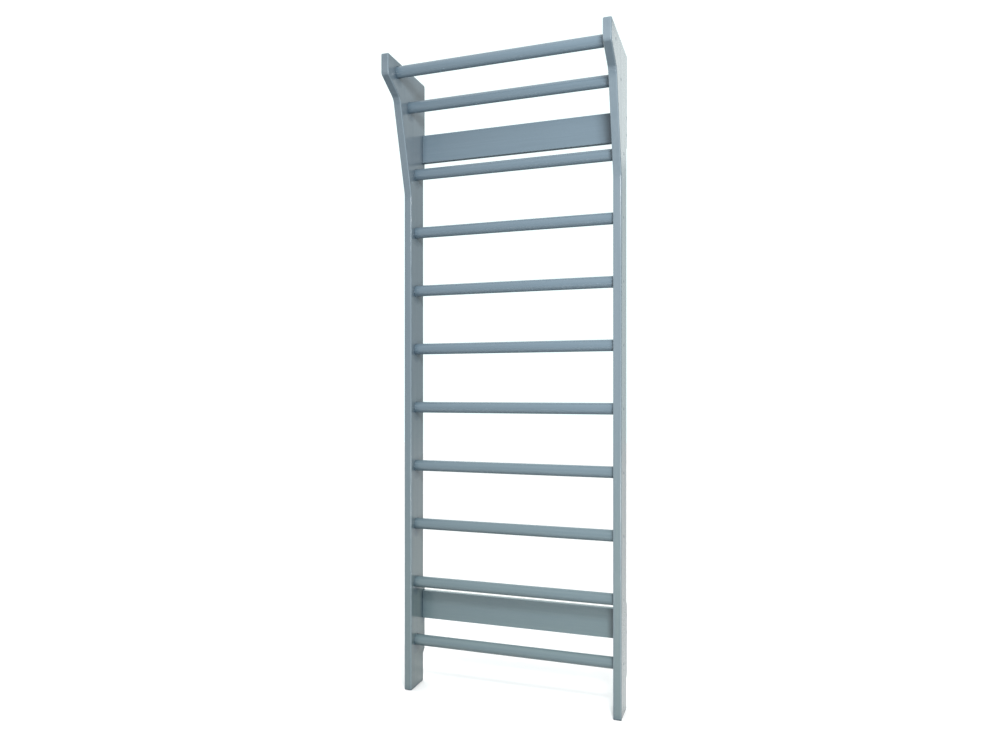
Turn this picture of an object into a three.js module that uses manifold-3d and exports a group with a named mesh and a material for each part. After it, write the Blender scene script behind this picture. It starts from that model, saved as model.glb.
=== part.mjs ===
import * as THREE from "three";
import { mergeVertices } from "three/addons/utils/BufferGeometryUtils.js";
import Module from "manifold-3d";

// Swedish wall bars: two shaped uprights, round rungs between them, and two boards that lie on the wall.
// Millimetres. X runs along the rungs, +Y points to the wall and +Z is up.
// The origin lies on the floor, below the middle of the bounding box.

// Whole object
const HEIGHT = 2304;
const CLEAR_WIDTH = 750; // between the uprights
const JOINT_GAP = 0.3; // clearance between pieces that meet

// Uprights. Depths count from the shaft's front edge towards the wall, reaches from it towards the room.
const UPRIGHT_THICKNESS = 29;
const SHAFT_DEPTH = 113;
const EAR_STAND = 15; // ears beside the boards stand this far behind the shaft, on 45 degree shoulders
const EAR_MARGIN = 15; // flat stretch of an ear past its board
const SKIRTING_HEIGHT = 107; // notch at the foot for a skirting board
const HORN_REACH = 195;
const HORN_FACE = 73; // height of the horn's upright front face
const HORN_ROOT_REACH = 98; // the horn's underside meets the leaning front edge here
const HORN_ROOT_DROP = 127; // and this far below the top
const LEAN_DROP = 450; // the front edge starts to lean forward this far below the top
const HORN_NOSE_RADIUS = 14;
const HORN_ROOT_RADIUS = 35;
const LEAN_RADIUS = 60;
const TOP_BACK_RADIUS = 10;
const CORNER_RADIUS = 4; // other corners of the side outline
const EDGE_ROUND = 2.5; // rounding along the edges of planks

// Rungs
const RUNG_DIAMETER = 41;
const RUNG_PITCH = 220;
const RUNG_SETBACK = 50; // axis of a straight rung, behind the front edge
const BOTTOM_RUNG_HEIGHT = 178;
const SECOND_RUNG_REACH = 10;
const SECOND_RUNG_DROP = 132;
const TOP_RUNG_REACH = 114;
const TOP_RUNG_DROP = 40;
const MORTISE_DEPTH = 16; // blind hole in the upright that holds a rung's end

// Wall boards
const BOARD_THICKNESS = 22;
const BOARD_HEIGHT = 106;
const LOWER_BOARD_HEIGHT = 297; // middle of the lower board, above the floor
const UPPER_BOARD_DROP = 252; // middle of the upper board, below the top

// Furniture screws, with countersunk heads and hexagon sockets
const RUNG_SCREW = { diameter: 6.4, head: 10, length: 70, socket: 4 };
const BOARD_SCREW = { diameter: 5, head: 9, length: 60, socket: 3 };
const BOARD_SCREW_SPACING = 60;
const HEAD_SINK = 0.6; // heads lie this far below the outer face
const SOCKET_DEPTH = 2.5;
const TIP_LENGTH = 4;

// Facets
const RUNG_SIDES = 32;
const SCREW_SIDES = 10;
const ARC_STEPS = 2;
const CUT_PAST = 5; // cutters run this far out of the wood

const WALL_DEPTH = SHAFT_DEPTH + EAR_STAND;
const INNER_FACE = CLEAR_WIDTH / 2;
const OUTER_FACE = INNER_FACE + UPRIGHT_THICKNESS;
const UPPER_BOARD_HEIGHT = HEIGHT - UPPER_BOARD_DROP;
const BOARD_DEPTH = WALL_DEPTH - BOARD_THICKNESS / 2;

const wasm = await Module();
wasm.setup();

const paintedWood = () => new THREE.MeshStandardMaterial({ color: 0x8298a2, roughness: 0.5, metalness: 0 });
const paintedSteel = () => new THREE.MeshStandardMaterial({ color: 0x7f959f, roughness: 0.45, metalness: 0.1 });

// A closed geometry as a solid, with shared vertices merged and collapsed triangles left out.
function solidOf(geometry) {
  geometry.deleteAttribute("normal");
  geometry.deleteAttribute("uv");
  const merged = mergeVertices(geometry);
  const corners = merged.index.array;
  const triVerts = [];
  for (let i = 0; i < corners.length; i += 3) {
    const triangle = [corners[i], corners[i + 1], corners[i + 2]];
    if (new Set(triangle).size === 3) triVerts.push(...triangle);
  }
  const vertProperties = merged.attributes.position.array;
  return new wasm.Manifold(new wasm.Mesh({ numProp: 3, vertProperties, triVerts: Uint32Array.from(triVerts) }));
}

function geometryOf(solid) {
  const { vertProperties, triVerts } = solid.getMesh();
  const geometry = new THREE.BufferGeometry();
  geometry.setAttribute("position", new THREE.BufferAttribute(Float32Array.from(vertProperties), 3));
  geometry.setIndex(new THREE.BufferAttribute(Uint32Array.from(triVerts), 1));
  geometry.computeVertexNormals();
  return geometry;
}

function piece(name, geometry, material) {
  const mesh = new THREE.Mesh(geometry, material);
  mesh.name = name;
  return mesh;
}

const numbered = (name, index) => `${name}_${String(index + 1).padStart(2, "0")}`;

// A closed outline, counter-clockwise, from corners [x, y, radius], each rounded by its radius.
function roundedOutline(corners) {
  const shape = new THREE.Shape();
  const places = corners.map(([x, y]) => new THREE.Vector2(x, y));
  corners.forEach(([, , radius], i) => {
    const corner = places[i];
    const back = places.at(i - 1).clone().sub(corner).normalize();
    const ahead = places[(i + 1) % places.length].clone().sub(corner).normalize();
    const half = Math.acos(back.dot(ahead)) / 2;
    const centre = back.clone().add(ahead).setLength(radius / Math.sin(half)).add(corner);
    const start = back.clone().multiplyScalar(radius / Math.tan(half)).add(corner).sub(centre);
    const end = ahead.clone().multiplyScalar(radius / Math.tan(half)).add(corner).sub(centre);
    shape.absarc(centre.x, centre.y, radius, start.angle(), end.angle(), back.cross(ahead) > 0);
  });
  return shape;
}

// A side outline (depth, height) as a plank along X, from x = start to x = start + thickness.
function plank(shape, start, thickness, round) {
  const geometry = new THREE.ExtrudeGeometry(shape, {
    depth: thickness - 2 * round,
    curveSegments: ARC_STEPS,
    bevelEnabled: round > 0,
    bevelThickness: round,
    bevelSize: round,
    bevelOffset: -round,
    bevelSegments: 1,
  });
  const [alongX, alongY, alongZ] = [[1, 0, 0], [0, 1, 0], [0, 0, 1]].map((axis) => new THREE.Vector3(...axis));
  geometry.applyMatrix4(new THREE.Matrix4().makeBasis(alongY, alongZ, alongX));
  return solidOf(geometry.translate(start + round, 0, 0));
}

// Lathe profile of a screw from its tip, at 0, to the top of its head, grown by a clearance all round.
// Past the head it goes on by the given length, which is how a screw's hole reaches out of the wood.
function screwProfile({ diameter, head, length }, clearance, past) {
  const shank = diameter / 2 + clearance;
  const rim = head / 2 + clearance;
  const tip = clearance > 0 ? shank : shank / 2;
  return [
    [0, -clearance],
    [tip, -clearance],
    [shank, TIP_LENGTH],
    [shank, length - (head - diameter) / 2],
    [rim, length],
    ...(past > 0 ? [[rim, length + past]] : []),
    [0, length + past],
  ].map(([x, y]) => new THREE.Vector2(x, y));
}

function screwGeometry(screw) {
  const body = solidOf(new THREE.LatheGeometry(screwProfile(screw, 0, 0), SCREW_SIDES));
  const corner = screw.socket / Math.sqrt(3);
  const socket = new THREE.CylinderGeometry(corner, corner, 2 * SOCKET_DEPTH, 6);
  return geometryOf(body.subtract(solidOf(socket.translate(0, screw.length, 0))));
}

// Where a screw's tip lies along X, and the turn that points its head to the outer face on that side.
const tipPlace = (side, screw) => side * (OUTER_FACE - HEAD_SINK - screw.length);
const headTurn = (side) => -side * Math.PI / 2;

function screwHole(side, screw, depth, height) {
  const profile = screwProfile(screw, JOINT_GAP, HEAD_SINK + CUT_PAST);
  const hole = new THREE.LatheGeometry(profile, SCREW_SIDES).rotateZ(headTurn(side));
  return solidOf(hole.translate(tipPlace(side, screw), depth, height));
}

function placeScrew(name, geometry, side, screw, depth, height) {
  const mesh = piece(name, geometry, paintedSteel());
  mesh.position.set(tipPlace(side, screw), depth, height);
  mesh.rotation.z = headTurn(side);
  return mesh;
}

// Axes of the rungs, from the floor up: as many straight ones as fit below the upper board, then two forward ones.
function rungAxes() {
  const highest = UPPER_BOARD_HEIGHT - (BOARD_HEIGHT + RUNG_DIAMETER) / 2;
  const straight = 1 + Math.floor((highest - BOTTOM_RUNG_HEIGHT) / RUNG_PITCH);
  const axes = [];
  for (let i = 0; i < straight; i += 1) {
    axes.push({ depth: RUNG_SETBACK, height: BOTTOM_RUNG_HEIGHT + i * RUNG_PITCH });
  }
  axes.push({ depth: -SECOND_RUNG_REACH, height: HEIGHT - SECOND_RUNG_DROP });
  axes.push({ depth: -TOP_RUNG_REACH, height: HEIGHT - TOP_RUNG_DROP });
  return axes;
}

const boardScrewHeights = (middle) => [middle - BOARD_SCREW_SPACING / 2, middle + BOARD_SCREW_SPACING / 2];

function uprightOutline() {
  const lowerEarTop = LOWER_BOARD_HEIGHT + BOARD_HEIGHT / 2 + EAR_MARGIN;
  const upperEarBottom = UPPER_BOARD_HEIGHT - BOARD_HEIGHT / 2 - EAR_MARGIN;
  return roundedOutline([
    [0, 0, CORNER_RADIUS],
    [SHAFT_DEPTH, 0, CORNER_RADIUS],
    [SHAFT_DEPTH, SKIRTING_HEIGHT, CORNER_RADIUS],
    [WALL_DEPTH, SKIRTING_HEIGHT + EAR_STAND, CORNER_RADIUS],
    [WALL_DEPTH, lowerEarTop, CORNER_RADIUS],
    [SHAFT_DEPTH, lowerEarTop + EAR_STAND, CORNER_RADIUS],
    [SHAFT_DEPTH, upperEarBottom - EAR_STAND, CORNER_RADIUS],
    [WALL_DEPTH, upperEarBottom, CORNER_RADIUS],
    [WALL_DEPTH, HEIGHT, TOP_BACK_RADIUS],
    [-HORN_REACH, HEIGHT, CORNER_RADIUS],
    [-HORN_REACH, HEIGHT - HORN_FACE, HORN_NOSE_RADIUS],
    [-HORN_ROOT_REACH, HEIGHT - HORN_ROOT_DROP, HORN_ROOT_RADIUS],
    [0, HEIGHT - LEAN_DROP, LEAN_RADIUS],
  ]);
}

// An upright, with a blind mortise for each rung on its inner face and screw holes from its outer face.
function uprightGeometry(side, axes) {
  const start = side > 0 ? INNER_FACE : -OUTER_FACE;
  let body = plank(uprightOutline(), start, UPRIGHT_THICKNESS, EDGE_ROUND);
  for (const { depth, height } of axes) {
    const radius = RUNG_DIAMETER / 2 + JOINT_GAP;
    const mortise = new THREE.CylinderGeometry(radius, radius, MORTISE_DEPTH + CUT_PAST, RUNG_SIDES);
    mortise.rotateZ(headTurn(side));
    mortise.translate(side * (INNER_FACE + (MORTISE_DEPTH - CUT_PAST) / 2), depth, height);
    body = body.subtract(solidOf(mortise));
    body = body.subtract(screwHole(side, RUNG_SCREW, depth, height));
  }
  for (const middle of [LOWER_BOARD_HEIGHT, UPPER_BOARD_HEIGHT]) {
    for (const height of boardScrewHeights(middle)) {
      body = body.subtract(screwHole(side, BOARD_SCREW, BOARD_DEPTH, height));
    }
  }
  return geometryOf(body);
}

// A rung about its own axis, with a pilot hole for a screw in each end.
function rungGeometry() {
  const length = CLEAR_WIDTH + 2 * (MORTISE_DEPTH - JOINT_GAP);
  const radius = RUNG_DIAMETER / 2;
  let body = solidOf(new THREE.CylinderGeometry(radius, radius, length, RUNG_SIDES).rotateZ(headTurn(1)));
  for (const side of [-1, 1]) body = body.subtract(screwHole(side, RUNG_SCREW, 0, 0));
  return geometryOf(body);
}

// A wall board about its own middle, with pilot holes for two screws in each end.
function boardGeometry() {
  const [front, top] = [BOARD_THICKNESS / 2, BOARD_HEIGHT / 2];
  const section = roundedOutline([
    [-front, -top, EDGE_ROUND],
    [front, -top, EDGE_ROUND],
    [front, top, EDGE_ROUND],
    [-front, top, EDGE_ROUND],
  ]);
  const length = CLEAR_WIDTH - 2 * JOINT_GAP;
  let body = plank(section, -length / 2, length, 0);
  for (const side of [-1, 1]) {
    for (const height of boardScrewHeights(0)) body = body.subtract(screwHole(side, BOARD_SCREW, 0, height));
  }
  return geometryOf(body);
}

const SIDES = [["left", -1], ["right", 1]];
const axes = rungAxes();
const rung = rungGeometry();
const board = boardGeometry();
const rungScrew = screwGeometry(RUNG_SCREW);
const boardScrew = screwGeometry(BOARD_SCREW);

// Everything is placed from the shaft's front edge; the group then centres the depth on the origin.
const wallBars = new THREE.Group();
wallBars.position.y = (HORN_REACH - WALL_DEPTH) / 2;

for (const [name, side] of SIDES) {
  wallBars.add(piece(`${name}_upright`, uprightGeometry(side, axes), paintedWood()));
}

axes.forEach(({ depth, height }, i) => {
  const mesh = piece(numbered("rung", i), rung, paintedWood());
  mesh.position.set(0, depth, height);
  wallBars.add(mesh);
  for (const [name, side] of SIDES) {
    wallBars.add(placeScrew(numbered(`${name}_rung_screw`, i), rungScrew, side, RUNG_SCREW, depth, height));
  }
});

for (const [level, middle] of [["lower", LOWER_BOARD_HEIGHT], ["upper", UPPER_BOARD_HEIGHT]]) {
  const mesh = piece(`${level}_wall_board`, board, paintedWood());
  mesh.position.set(0, BOARD_DEPTH, middle);
  wallBars.add(mesh);
  for (const [name, side] of SIDES) {
    boardScrewHeights(middle).forEach((height, i) => {
      const screwName = numbered(`${name}_${level}_board_screw`, i);
      wallBars.add(placeScrew(screwName, boardScrew, side, BOARD_SCREW, BOARD_DEPTH, height));
    });
  }
}

export default wallBars;
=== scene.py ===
"""Swedish wall bars under blue-grey enamel, every piece rebuilt with fine curves where the model has it."""

import math

import bmesh
import bpy
from mathutils import Matrix, Vector


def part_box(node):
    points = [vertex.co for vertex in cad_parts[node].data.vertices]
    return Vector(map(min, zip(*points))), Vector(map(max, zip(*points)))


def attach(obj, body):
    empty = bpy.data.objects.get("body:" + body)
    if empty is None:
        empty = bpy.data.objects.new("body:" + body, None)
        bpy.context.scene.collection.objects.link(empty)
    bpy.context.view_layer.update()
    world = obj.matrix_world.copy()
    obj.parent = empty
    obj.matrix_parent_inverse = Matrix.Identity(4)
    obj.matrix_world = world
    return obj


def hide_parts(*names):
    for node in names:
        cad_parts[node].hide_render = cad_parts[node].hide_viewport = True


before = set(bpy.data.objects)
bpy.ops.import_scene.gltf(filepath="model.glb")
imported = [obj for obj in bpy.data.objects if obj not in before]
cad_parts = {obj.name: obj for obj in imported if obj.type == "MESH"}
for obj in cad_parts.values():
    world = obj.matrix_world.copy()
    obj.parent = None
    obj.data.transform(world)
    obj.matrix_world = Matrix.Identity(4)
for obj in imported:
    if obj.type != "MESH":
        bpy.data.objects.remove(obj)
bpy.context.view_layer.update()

SIDES = (("left", -1), ("right", 1))
RUNGS = sorted(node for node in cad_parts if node.startswith("rung_"))
BOARDS = sorted(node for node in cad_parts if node.endswith("_wall_board"))

# Sizes are in metres, so millimetres are marked
MM = 0.001

# Side outline of an upright: reaches count forward from the front edge of its shaft, drops from its top
HORN_REACH = 195 * MM
HORN_FACE = 73 * MM
HORN_ROOT_REACH = 98 * MM
HORN_ROOT_DROP = 127 * MM
LEAN_DROP = 450 * MM
EAR_STAND = 15 * MM
EAR_MARGIN = 15 * MM
SKIRTING_HEIGHT = 107 * MM
HORN_NOSE_RADIUS = 14 * MM
HORN_ROOT_RADIUS = 35 * MM
LEAN_RADIUS = 60 * MM
TOP_BACK_RADIUS = 10 * MM
CORNER_RADIUS = 5 * MM

# Rounding of the uprights' edges and the boards' long edges, and easing of the boards' ends
EDGE_ROUND = 4 * MM
BOARD_ROUND = 2.5 * MM
END_EASE = 0.4 * MM

# Joints: clearance, depth, easing of mouths and ends, and how far holes pass screws' tips and faces
FIT = 0.3 * MM
MORTISE_DEPTH = 16 * MM
MOUTH_EASE = 0.6 * MM
RUNG_EASE = 1.5 * MM
PILOT_PAST = 0.3 * MM
CUT_PAST = 5 * MM

# Countersunk screws: the shank's diameter and the width across the flats of the socket, which is shallow
# because enamel partly fills it
RUNG_SCREW = (6.4 * MM, 4 * MM)
BOARD_SCREW = (5 * MM, 3 * MM)
SCREW_TIP = 4 * MM
SOCKET_FLATS = 6
SOCKET_DEPTH = 1 * MM

# Fineness of the curves, and the angle past which an edge stays sharp
RUNG_SIDES = 72
SCREW_SIDES = 48
EDGE_STEPS = 5
ARC_STEP = math.radians(6)
SHARP = math.radians(32)

# Wood under the enamel: fibres and growth rings, across and along the grain, and pores in end grain. Real
# fibres and pores are 1 mm wide or less, too fine to show in the picture, so they are drawn much wider
FIBRE_WIDTH = 5 * MM
FIBRE_LENGTH = 170 * MM
FIBRE_RELIEF = 0.03 * MM
PINE_RING_WIDTH = 24 * MM
BEECH_RING_WIDTH = 9 * MM
RING_LENGTH = 1300 * MM
END_PORE_SIZE = 4 * MM
END_PORE_RELIEF = 0.15 * MM

# Long waves of orange peel in the enamel
PEEL_SIZE = 8 * MM
PEEL_RELIEF = 0.005 * MM

# Heights between which the painted tint of the light changes, the size of its patches, and how far they
# shift that
SHADE_FOOT = 300 * MM
SHADE_TOP = 1200 * MM
SHADE_PATCH = 420 * MM
SHADE_WANDER = 300 * MM

# Painted shade in inside corners, darker below them than above: how far out it reaches and how much of its
# dark colour shows, how much more of it falls below a corner than above, and how open a place is where it is
# darkest
UPRIGHT_CORNER_SHADE = (34 * MM, 0.85)
CROSSPIECE_CORNER_SHADE = (22 * MM, 0.35)
CORNER_SHADE_TILT = 0.6
CORNER_SHADE_OPENING = 0.5

# Directions, as parts of a face's normal: along the grain, where end grain starts and is full, halfway round
# an edge, and upwards, where an underside starts and is full
END_GRAIN = (0.6, 0.95)
HALF_ROUND = 0.5
UNDERSIDE = (-0.7, -0.95)

# How much of the pale colour shows on edges, partly thin enamel and partly a painted highlight, and of the
# deep one in hollows of the grain, and the heights of the streaks where a hollow starts and is full
EDGE_THINNING_AND_HIGHLIGHT = 0.8
HOLLOW_DEPTH = 0.25
HOLLOW_SPAN = (0.34, 0.16)

# Gloss of the enamel: the heights of the streaks in hollows and on ridges of the grain, the roughness there,
# what end grain and undersides add to it, the roughness on steel, and the index of refraction
STREAK_SPAN = (0.12, 0.42)
STREAK_ROUGHNESS = (0.25, 0.21)
END_GRAIN_DULLING = 0.2
UNDERSIDE_DULLING = 0.55
STEEL_ROUGHNESS = 0.24
ENAMEL_IOR = 1.5

# The uprights are set greyer, and each shade is bluer at the top and greener at the foot: a painted tint of
# light
UPRIGHT_TOP = "#6F7D86"
UPRIGHT_FOOT = "#6D7D7F"
ENAMEL_TOP = "#677985"
ENAMEL_FOOT = "#67797D"
# Pale colour of the edges: partly thin enamel, partly a painted highlight
THIN_ENAMEL_AND_HIGHLIGHT = "#8797A0"
ENAMEL_DEEP = "#5B6C77"
# Dark colour of the painted shade in inside corners, darkest below them
CORNER_SHADE_COLOUR = "#304858"

# Whites of the studio: the paper floor as it looks and as it lights the object, the room, and its back wall
FLOOR_SEEN = "#FFFFFF"
FLOOR_BOUNCE = "#646464"
ROOM_WHITE = "#FFFFFF"
BACKDROP_WHITE = "#F0FFFF"

# Bright parts of the room as (direction, brightness, how closely it gathers there), and the brightness that
# the camera sees
BACKDROP = ((0, 1, 0), 1.16, 6)
FRONT_ROOM = ((0, -1, 0), 0.95, 3)
CEILING = ((0, 0, 1), 1.4, 1.5)
BACK_LEFT = ((-1, 0.6, 0), 2.7, 4)
SEEN_BACKDROP = 1.2

# Square soft boxes as (place, width, power), in metres and watts, and the place that they are turned to
HIGH_BOX = ((0.96, -1.9, 2.45), 0.5, 48)
LOW_BOX = ((1.05, -2.3, 0.4), 0.5, 39)
RIM_BOX = ((1.5, 6.9, 4.7), 1.6, 6)
BOX_AIM = (0, 0.1, 1.2)

# Round sheet of paper under the object, in metres
FLOOR_RADIUS = 14
FLOOR_SIDES = 96

# The photograph's view: the camera stands level, to the right of the middle, turned left. Its focal length,
# its axis and the middle of the frame are in pixels of the photograph, and its sensor is in millimetres
PHOTO_WIDTH = 1000
FOCAL_PIXELS = 774.6
AXIS_PIXEL = (470, 390)
FRAME_MIDDLE = (500, 375.5)
CAMERA_PLACE = (0.8194, -2.6084, 1.123)
CAMERA_TURN = math.radians(20)
SENSOR_WIDTH = 36


# Shapes

def skin(name, rings):
    """Closed mesh through rings of equally many points, each joined to the next and both ends closed."""
    shell = bmesh.new()
    loops = [[shell.verts.new(point) for point in points] for points in rings]
    for near, far in zip(loops, loops[1:]):
        for i in range(len(near)):
            shell.faces.new((near[i - 1], near[i], far[i], far[i - 1]))
    shell.faces.new(loops[0])
    shell.faces.new(loops[-1])
    bmesh.ops.recalc_face_normals(shell, faces=shell.faces)
    mesh = bpy.data.meshes.new(name)
    shell.to_mesh(mesh)
    shell.free()
    return mesh


def rounded_outline(corners):
    """Outline through corners (y, z, radius), counter-clockwise, as points with their outward directions."""
    outline = []
    for i, (y, z, radius) in enumerate(corners):
        corner = Vector((y, z))
        back = (Vector(corners[i - 1][:2]) - corner).normalized()
        ahead = (Vector(corners[(i + 1) % len(corners)][:2]) - corner).normalized()
        half = back.angle(ahead) / 2
        bulge = math.copysign(1, ahead.cross(back))
        centre = corner + (back + ahead).normalized() * radius / math.sin(half)
        spoke = (corner + back * radius / math.tan(half) - centre) / radius
        turn = math.pi - 2 * half
        steps = math.ceil(turn / ARC_STEP)
        for step in range(steps + 1):
            direction = Matrix.Rotation(bulge * turn * step / steps, 2) @ spoke
            outline.append((centre + direction * radius, direction * bulge))
    return outline


def plank(name, corners, start, end, ease):
    """A plank of the given side outline, from x = start to x = end, its edges rounded by ease."""
    outline = rounded_outline(corners)
    sections = []
    for step in range(EDGE_STEPS + 1):
        angle = math.pi / 2 * step / EDGE_STEPS
        sections.append((ease * (1 - math.cos(angle)), ease * (1 - math.sin(angle))))
    places = [(start + depth, inset) for depth, inset in sections]
    places += [(end - depth, inset) for depth, inset in reversed(sections)]
    rings = []
    for x, inset in places:
        rings.append([(x, *(point - outward * inset)) for point, outward in outline])
    return skin(name, rings)


def ring(x, axis, radius, sides, flats=0):
    """Points round a line along X, on a circle or, with flats, on a polygon that has this inner radius."""
    points = []
    for i in range(sides):
        angle = math.tau * i / sides
        reach = radius
        if flats:
            sector = math.tau / flats
            reach /= math.cos((angle + sector / 2) % sector - sector / 2)
        points.append((x, axis[0] + reach * math.cos(angle), axis[1] + reach * math.sin(angle)))
    return points


def turned(name, axis, profile, sides):
    """A piece turned about a line along X: profile holds (x, radius) from one end to the other."""
    return skin(name, [ring(x, axis, radius, sides) for x, radius in profile])


def drilled(mesh, bores):
    """The mesh with bores, which are closed meshes that don't touch each other, cut out of it."""
    joined = bmesh.new()
    for bore in bores:
        joined.from_mesh(bore)
        bpy.data.meshes.remove(bore)
    drill_mesh = bpy.data.meshes.new("drill")
    joined.to_mesh(drill_mesh)
    joined.free()
    block = bpy.data.objects.new("block", mesh)
    drill = bpy.data.objects.new("drill", drill_mesh)
    for each in (block, drill):
        bpy.context.scene.collection.objects.link(each)
    cut = block.modifiers.new("bores", "BOOLEAN")
    cut.object = drill
    cut.solver = "EXACT"
    depsgraph = bpy.context.evaluated_depsgraph_get()
    result = bpy.data.meshes.new_from_object(block.evaluated_get(depsgraph))
    result.name = mesh.name
    for each in (block, drill):
        bpy.data.objects.remove(each)
    bpy.data.meshes.remove(drill_mesh)
    bpy.data.meshes.remove(mesh)
    return result


def finished(node, mesh, material):
    """Puts a piece in the scene in place of its node, painted and with flat faces that stay flat."""
    piece = bpy.data.objects.new(f"painted_{node}", mesh)
    bpy.context.scene.collection.objects.link(piece)
    mesh.materials.append(material)
    mesh.shade_smooth()
    mesh.set_sharp_from_angle(angle=SHARP)
    flats = piece.modifiers.new("flat faces", "WEIGHTED_NORMAL")
    flats.keep_sharp = True
    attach(piece, "root")
    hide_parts(node)


# Materials

def linear(code):
    """An sRGB hex colour as linear red, green and blue, fully opaque."""
    channels = [int(code[i:i + 2], 16) / 255 for i in (1, 3, 5)]
    return [c / 12.92 if c <= 0.04045 else ((c + 0.055) / 1.055) ** 2.4 for c in channels] + [1.0]


def add(tree, kind, inputs, **settings):
    """Adds a shader node and gives its outputs.

    Settings are the node's options, and inputs are its sockets, as values or as links.
    """
    made = tree.nodes.new("ShaderNode" + kind)
    for name, value in settings.items():
        setattr(made, name, value)
    sockets = {socket.identifier: socket for socket in made.inputs}
    for name, value in inputs.items():
        if isinstance(value, bpy.types.NodeSocket):
            tree.links.new(value, sockets[name])
        else:
            sockets[name].default_value = value
    return {socket.identifier: socket for socket in made.outputs}


def new_material(name):
    """An empty node material."""
    material = bpy.data.materials.new(name)
    material.use_nodes = True
    material.node_tree.nodes.clear()
    return material


def stretched(grain, length, width):
    """Repeats per metre of a pattern that is long along the grain axis and narrow across it."""
    return [1 / length if axis == grain else 1 / width for axis in "XYZ"]


def grain_streaks(tree, place, grain, ring_width):
    """Height of the streaks where fibres and growth rings stand up under the enamel."""
    fibre_scale = stretched(grain, FIBRE_LENGTH, FIBRE_WIDTH)
    fibre_place = add(tree, "Mapping", {"Vector": place, "Scale": fibre_scale})["Vector"]
    fibres = add(tree, "TexNoise", {"Vector": fibre_place, "Scale": 1, "Detail": 4, "Roughness": 0.6})["Fac"]
    ring_scale = stretched(grain, RING_LENGTH, ring_width)
    ring_place = add(tree, "Mapping", {"Vector": place, "Scale": ring_scale})["Vector"]
    rings = add(tree, "TexNoise", {"Vector": ring_place, "Scale": 1, "Detail": 2, "Distortion": 0.6})["Fac"]
    return add(tree, "Math", {"Value": fibres, "Value_001": rings}, operation="MULTIPLY")["Value"]


def painted_light_tint(tree, place, top, foot):
    """Painted tint of the light: colour that changes from foot to top, at a height that wanders from patch
    to patch.
    """
    height = add(tree, "SeparateXYZ", {"Vector": place})["Z"]
    patches = add(tree, "TexNoise", {"Vector": place, "Scale": 1 / SHADE_PATCH, "Detail": 1})["Fac"]
    wander = add(tree, "Math", {"Value": patches, "Value_001": SHADE_WANDER, "Value_002": height},
                 operation="MULTIPLY_ADD")["Value"]
    lean = add(tree, "MapRange", {"Value": wander, "From Min": SHADE_FOOT + SHADE_WANDER / 2,
                                  "From Max": SHADE_TOP + SHADE_WANDER / 2})["Result"]
    return add(tree, "Mix", {"Factor_Float": lean, "A_Color": linear(foot), "B_Color": linear(top)},
               data_type="RGBA")["Result_Color"]


def thinned_and_highlit_edge(tree, turn):
    """Share of the pale colour on an edge, partly thin enamel and partly a painted highlight, from how far a
    face has turned from one side to the next.
    """
    rim = add(tree, "Math", {"Value": turn, "Value_001": HALF_ROUND}, operation="PINGPONG")["Value"]
    return add(tree, "MapRange", {"Value": rim, "From Max": HALF_ROUND, "To Max": EDGE_THINNING_AND_HIGHLIGHT})["Result"]


def painted_corner_shade(tree, normal, corner):
    """Share of painted shade in inside corners, most of all below them, from how closed in each place is."""
    reach, depth = corner
    tilted_normal_inputs = {"Vector": normal, "Vector_001": (0, 0, CORNER_SHADE_TILT)}
    upward = add(tree, "VectorMath", tilted_normal_inputs, operation="ADD")["Vector"]
    upward = add(tree, "VectorMath", {"Vector": upward}, operation="NORMALIZE")["Vector"]
    opening = add(tree, "AmbientOcclusion", {"Distance": reach, "Normal": upward}, samples=8)["AO"]
    return add(tree, "MapRange", {"Value": opening, "From Min": 1, "From Max": CORNER_SHADE_OPENING,
                                  "To Max": depth})["Result"]


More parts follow.
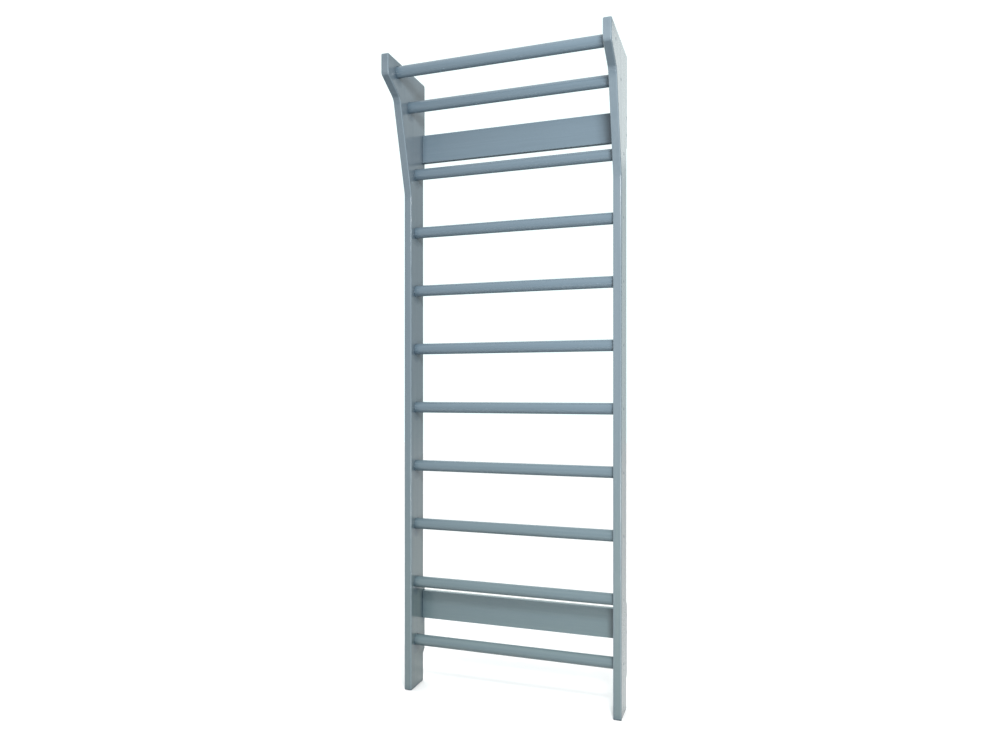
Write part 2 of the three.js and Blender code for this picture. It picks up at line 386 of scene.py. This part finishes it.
def enamelled_wood(name, grain, arris, ring_width, corner, top, foot):
    """Planed wood under sprayed semi-gloss enamel, sanded between coats.

    The enamel mirrors bright walls at a slant and has the slow waves of orange peel. It hides the wood's
    colour, but fibres and growth rings still stand up a little under it, so its gloss breaks into faint
    streaks along the grain. It is paler on rounded edges, partly thin enamel and partly a painted highlight,
    has a painted shade in inside corners that is darkest below them, sinks in and dries duller on end grain,
    and stays dull on undersides, where the spray came last.
    """
    material = new_material(name)
    tree = material.node_tree
    place = add(tree, "TexCoord", {})["Object"]
    normal = add(tree, "NewGeometry", {})["Normal"]
    facing = add(tree, "SeparateXYZ", {"Vector": normal})
    along = add(tree, "Math", {"Value": facing[grain]}, operation="ABSOLUTE")["Value"]
    end_grain = add(tree, "MapRange", {"Value": along, "From Min": END_GRAIN[0],
                                       "From Max": END_GRAIN[1]})["Result"]
    under = add(tree, "MapRange", {"Value": facing["Z"], "From Min": UNDERSIDE[0], "From Max": UNDERSIDE[1],
                                   "To Max": UNDERSIDE_DULLING})["Result"]
    streaks = grain_streaks(tree, place, grain, ring_width)
    pores = add(tree, "TexNoise", {"Vector": place, "Scale": 1 / END_PORE_SIZE, "Detail": 3})["Fac"]
    peel = add(tree, "TexNoise", {"Vector": place, "Scale": 1 / PEEL_SIZE, "Detail": 2})["Fac"]

    hollow = add(tree, "MapRange", {"Value": streaks, "From Min": HOLLOW_SPAN[0], "From Max": HOLLOW_SPAN[1],
                                    "To Max": HOLLOW_DEPTH})["Result"]
    sunk = add(tree, "Math", {"Value": end_grain, "Value_001": pores, "Value_002": hollow},
               operation="MULTIPLY_ADD")["Value"]
    shades = [(sunk, ENAMEL_DEEP)]
    if arris:
        # Pale edges: partly thin enamel, partly a painted highlight
        shades.append((thinned_and_highlit_edge(tree, facing[arris]), THIN_ENAMEL_AND_HIGHLIGHT))
    # Painted shade in inside corners, darkest below them
    shades.append((painted_corner_shade(tree, normal, corner), CORNER_SHADE_COLOUR))
    # Painted tint of the light: bluer at the top, greener at the foot
    tone = painted_light_tint(tree, place, top, foot)
    for share, shade in shades:
        tone = add(tree, "Mix", {"Factor_Float": share, "A_Color": tone, "B_Color": linear(shade)},
                   data_type="RGBA")["Result_Color"]

    gloss = add(tree, "MapRange", {"Value": streaks, "From Min": STREAK_SPAN[0], "From Max": STREAK_SPAN[1],
                                   "To Min": STREAK_ROUGHNESS[0], "To Max": STREAK_ROUGHNESS[1]})["Result"]
    roughness = add(tree, "Math", {"Value": end_grain, "Value_001": END_GRAIN_DULLING, "Value_002": gloss},
                    operation="MULTIPLY_ADD")["Value"]
    roughness = add(tree, "Math", {"Value": roughness, "Value_001": under}, operation="ADD")["Value"]
    relief = add(tree, "Bump", {"Height": streaks, "Distance": FIBRE_RELIEF, "Strength": 1})["Normal"]
    relief = add(tree, "Bump", {"Height": pores, "Distance": END_PORE_RELIEF, "Strength": end_grain,
                                "Normal": relief})["Normal"]
    relief = add(tree, "Bump", {"Height": peel, "Distance": PEEL_RELIEF, "Strength": 1,
                                "Normal": relief})["Normal"]
    shader = add(tree, "BsdfPrincipled", {"Base Color": tone, "Roughness": roughness, "IOR": ENAMEL_IOR,
                                          "Normal": relief})
    add(tree, "OutputMaterial", {"Surface": shader["BSDF"]})
    return material


def enamelled_steel(name):
    """Steel screws under the same sprayed enamel, whose shade drifts a little with its orange peel."""
    material = new_material(name)
    tree = material.node_tree
    place = add(tree, "TexCoord", {})["Object"]
    peel = add(tree, "TexNoise", {"Vector": place, "Scale": 1 / PEEL_SIZE, "Detail": 2})["Fac"]
    tone = add(tree, "Mix", {"Factor_Float": peel, "A_Color": linear(ENAMEL_TOP),
                             "B_Color": linear(ENAMEL_DEEP)}, data_type="RGBA")["Result_Color"]
    relief = add(tree, "Bump", {"Height": peel, "Distance": PEEL_RELIEF, "Strength": 1})["Normal"]
    shader = add(tree, "BsdfPrincipled", {"Base Color": tone, "Roughness": STEEL_ROUGHNESS,
                                          "IOR": ENAMEL_IOR, "Normal": relief})
    add(tree, "OutputMaterial", {"Surface": shader["BSDF"]})
    return material


# Pieces

def middle(node):
    """Where a node's axis along X lies, as (y, z)."""
    low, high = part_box(node)
    return (low.y + high.y) / 2, (low.z + high.z) / 2


def upright_corners(low, high):
    """Corners of an upright's side outline as (y, z, radius), from the front of its foot up its back."""
    front = low.y + HORN_REACH
    shaft_back = high.y - EAR_STAND
    lower_ear_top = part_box("lower_wall_board")[1].z + EAR_MARGIN
    upper_ear_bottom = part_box("upper_wall_board")[0].z - EAR_MARGIN
    return [
        (front, low.z, CORNER_RADIUS),
        (shaft_back, low.z, CORNER_RADIUS),
        (shaft_back, SKIRTING_HEIGHT, CORNER_RADIUS),
        (high.y, SKIRTING_HEIGHT + EAR_STAND, CORNER_RADIUS),
        (high.y, lower_ear_top, CORNER_RADIUS),
        (shaft_back, lower_ear_top + EAR_STAND, CORNER_RADIUS),
        (shaft_back, upper_ear_bottom - EAR_STAND, CORNER_RADIUS),
        (high.y, upper_ear_bottom, CORNER_RADIUS),
        (high.y, high.z, TOP_BACK_RADIUS),
        (low.y, high.z, CORNER_RADIUS),
        (low.y, high.z - HORN_FACE, HORN_NOSE_RADIUS),
        (front - HORN_ROOT_REACH, high.z - HORN_ROOT_DROP, HORN_ROOT_RADIUS),
        (front, high.z - LEAN_DROP, LEAN_RADIUS),
    ]


def screw_reach(node, side):
    """Tip and head of a screw along X, and the radius of its head."""
    low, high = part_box(node)
    tip, head = (low.x, high.x) if side > 0 else (high.x, low.x)
    return tip, head, max(high.y - low.y, high.z - low.z) / 2


def screw_mesh(node, side, screw):
    """A countersunk screw with a shallow socket, its tip tapered to half the shank's thickness."""
    shank, socket = screw
    tip, head, rim = screw_reach(node, side)
    axis = middle(node)
    profile = [
        (tip, shank / 4),
        (tip + side * SCREW_TIP, shank / 2),
        (head - side * (rim - shank / 2), shank / 2),
        (head, rim),
    ]
    rings = [ring(x, axis, radius, SCREW_SIDES) for x, radius in profile]
    for x in (head, head - side * SOCKET_DEPTH):
        rings.append(ring(x, axis, socket / 2, SCREW_SIDES, SOCKET_FLATS))
    return skin(node, rings)


def countersunk_bore(node, side, screw, start, outer):
    """Profile of a screw's hole through an upright, from x = start to past its outer face."""
    shank, _ = screw
    _, head, rim = screw_reach(node, side)
    return [
        (start, shank / 2 + FIT),
        (head - side * (rim - shank / 2), shank / 2 + FIT),
        (head, rim + FIT),
        (outer + side * CUT_PAST, rim + FIT),
    ]


def board_screws(start):
    """Nodes of the board screws whose names have this start: a side, or a side and a board."""
    return [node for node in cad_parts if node.startswith(start) and "_board_screw_" in node]


def upright_mesh(name, side):
    """An upright with a mortise and a screw hole for each rung, and screw holes beside the boards' ends."""
    node = f"{name}_upright"
    low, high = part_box(node)
    inner, outer = (low.x, high.x) if side > 0 else (high.x, low.x)
    bores = []
    for rung in RUNGS:
        axis = middle(rung)
        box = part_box(rung)
        radius = (box[1].z - box[0].z) / 2 + FIT
        floor = inner + side * MORTISE_DEPTH
        profile = [
            (inner - side * CUT_PAST, radius + MOUTH_EASE),
            (inner, radius + MOUTH_EASE),
            (inner + side * MOUTH_EASE, radius),
            (floor, radius),
        ]
        screw = f"{name}_rung_screw_{rung[-2:]}"
        profile += countersunk_bore(screw, side, RUNG_SCREW, floor, outer)
        bores.append(turned("bore", axis, profile, RUNG_SIDES))
    for screw in board_screws(name):
        profile = countersunk_bore(screw, side, BOARD_SCREW, inner - side * CUT_PAST, outer)
        bores.append(turned("bore", middle(screw), profile, SCREW_SIDES))
    plain = plank(node, upright_corners(low, high), low.x, high.x, EDGE_ROUND)
    return drilled(plain, bores)


def rung_mesh(node):
    """A round rung with eased ends and a pilot hole for a screw in each end."""
    low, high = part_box(node)
    number = node[-2:]
    pilot = RUNG_SCREW[0] / 2 + FIT
    radius = (high.z - low.z) / 2
    left_tip = screw_reach(f"left_rung_screw_{number}", -1)[0]
    right_tip = screw_reach(f"right_rung_screw_{number}", 1)[0]
    profile = [
        (left_tip + PILOT_PAST, pilot),
        (low.x, pilot),
        (low.x, radius - RUNG_EASE),
        (low.x + RUNG_EASE, radius),
        (high.x - RUNG_EASE, radius),
        (high.x, radius - RUNG_EASE),
        (high.x, pilot),
        (right_tip - PILOT_PAST, pilot),
    ]
    return turned(node, middle(node), profile, RUNG_SIDES)


def board_mesh(node):
    """A wall board with rounded long edges, eased ends and pilot holes for the screws in each end."""
    low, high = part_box(node)
    corners = [(low.y, low.z), (high.y, low.z), (high.y, high.z), (low.y, high.z)]
    level = node.split("_")[0]
    pilot = BOARD_SCREW[0] / 2 + FIT
    bores = []
    for name, side in SIDES:
        end = high.x if side > 0 else low.x
        for screw in board_screws(f"{name}_{level}"):
            tip = screw_reach(screw, side)[0]
            profile = [(tip - side * PILOT_PAST, pilot), (end + side * CUT_PAST, pilot)]
            bores.append(turned("bore", middle(screw), profile, SCREW_SIDES))
    plain = plank(node, [(y, z, BOARD_ROUND) for y, z in corners], low.x, high.x, END_EASE)
    return drilled(plain, bores)


# Studio

def studio_floor():
    """A wide round sheet of matt paper: white to the eye and in reflections, it lights the object little."""
    turns = [math.tau * i / FLOOR_SIDES for i in range(FLOOR_SIDES)]
    points = [(FLOOR_RADIUS * math.cos(turn), FLOOR_RADIUS * math.sin(turn), 0) for turn in turns]
    mesh = bpy.data.meshes.new("floor")
    mesh.from_pydata(points, [], [range(FLOOR_SIDES)])
    floor = bpy.data.objects.new("floor", mesh)
    bpy.context.scene.collection.objects.link(floor)
    material = new_material("matt_white_paper")
    tree = material.node_tree
    bounced = add(tree, "LightPath", {})["Is Diffuse Ray"]
    tone = add(tree, "Mix", {"Factor_Float": bounced, "A_Color": linear(FLOOR_SEEN),
                             "B_Color": linear(FLOOR_BOUNCE)}, data_type="RGBA")["Result_Color"]
    shader = add(tree, "BsdfDiffuse", {"Color": tone})
    add(tree, "OutputMaterial", {"Surface": shader["BSDF"]})
    mesh.materials.append(material)


def studio_surround():
    """White room, bright overhead, in front, behind and most of all at the back left.

    The camera sees plain white all round.
    """
    world = bpy.data.worlds.new("studio")
    bpy.context.scene.world = world
    world.use_nodes = True
    tree = world.node_tree
    tree.nodes.clear()
    heading = add(tree, "TexCoord", {})["Generated"]
    room = 0.0
    for way, brightness, gather in (BACKDROP, FRONT_ROOM, CEILING, BACK_LEFT):
        toward = add(tree, "VectorMath", {"Vector": heading, "Vector_001": Vector(way).normalized()},
                     operation="DOT_PRODUCT")["Value"]
        toward = add(tree, "Math", {"Value": toward, "Value_001": 0.0}, operation="MAXIMUM")["Value"]
        toward = add(tree, "Math", {"Value": toward, "Value_001": gather}, operation="POWER")["Value"]
        room = add(tree, "Math", {"Value": toward, "Value_001": brightness, "Value_002": room},
                   operation="MULTIPLY_ADD")["Value"]
    seen = add(tree, "LightPath", {})["Is Camera Ray"]
    strength = add(tree, "Mix", {"Factor_Float": seen, "A_Float": room,
                                 "B_Float": SEEN_BACKDROP})["Result_Float"]
    back = add(tree, "SeparateXYZ", {"Vector": heading})["Y"]
    tone = add(tree, "Mix", {"Factor_Float": back, "A_Color": linear(ROOM_WHITE),
                             "B_Color": linear(BACKDROP_WHITE)}, data_type="RGBA")["Result_Color"]
    surround = add(tree, "Background", {"Color": tone, "Strength": strength})
    add(tree, "OutputWorld", {"Surface": surround["Background"]})


def soft_box(name, place, width, power):
    """A square soft box, turned to the middle of the object and hidden from the camera."""
    lamp = bpy.data.lights.new(name, "AREA")
    lamp.shape = "SQUARE"
    lamp.size = width
    lamp.energy = power
    box = bpy.data.objects.new(name, lamp)
    box.location = place
    box.rotation_euler = (Vector(BOX_AIM) - Vector(place)).to_track_quat("-Z", "Z").to_euler()
    box.visible_camera = False
    bpy.context.scene.collection.objects.link(box)


def photo_camera():
    """The photograph's camera, shifted because the photograph's axis lies off the middle of its frame."""
    lens = bpy.data.cameras.new("camera")
    lens.sensor_fit = "HORIZONTAL"
    lens.sensor_width = SENSOR_WIDTH
    lens.lens = FOCAL_PIXELS * SENSOR_WIDTH / PHOTO_WIDTH
    lens.shift_x = (FRAME_MIDDLE[0] - AXIS_PIXEL[0]) / PHOTO_WIDTH
    lens.shift_y = (AXIS_PIXEL[1] - FRAME_MIDDLE[1]) / PHOTO_WIDTH
    camera = bpy.data.objects.new("camera", lens)
    camera.location = CAMERA_PLACE
    camera.rotation_euler = (math.pi / 2, 0, CAMERA_TURN)
    bpy.context.scene.collection.objects.link(camera)
    bpy.context.scene.camera = camera


upright_paint = enamelled_wood("sprayed_enamel_on_pine_uprights", "Z", "X", PINE_RING_WIDTH,
                               UPRIGHT_CORNER_SHADE, UPRIGHT_TOP, UPRIGHT_FOOT)
rung_paint = enamelled_wood("sprayed_enamel_on_beech_rungs", "X", None, BEECH_RING_WIDTH,
                            CROSSPIECE_CORNER_SHADE, ENAMEL_TOP, ENAMEL_FOOT)
board_paint = enamelled_wood("sprayed_enamel_on_pine_boards", "X", "Z", PINE_RING_WIDTH,
                             CROSSPIECE_CORNER_SHADE, ENAMEL_TOP, ENAMEL_FOOT)
screw_paint = enamelled_steel("sprayed_enamel_on_steel_screws")

for name, side in SIDES:
    finished(f"{name}_upright", upright_mesh(name, side), upright_paint)
    for rung in RUNGS:
        screw = f"{name}_rung_screw_{rung[-2:]}"
        finished(screw, screw_mesh(screw, side, RUNG_SCREW), screw_paint)
    for screw in board_screws(name):
        finished(screw, screw_mesh(screw, side, BOARD_SCREW), screw_paint)
for rung in RUNGS:
    finished(rung, rung_mesh(rung), rung_paint)
for board in BOARDS:
    finished(board, board_mesh(board), board_paint)

studio_floor()
studio_surround()
soft_box("high_box", *HIGH_BOX)
soft_box("low_box", *LOW_BOX)
soft_box("rim_box", *RIM_BOX)
photo_camera()
bpy.context.scene.view_settings.view_transform = "Standard"
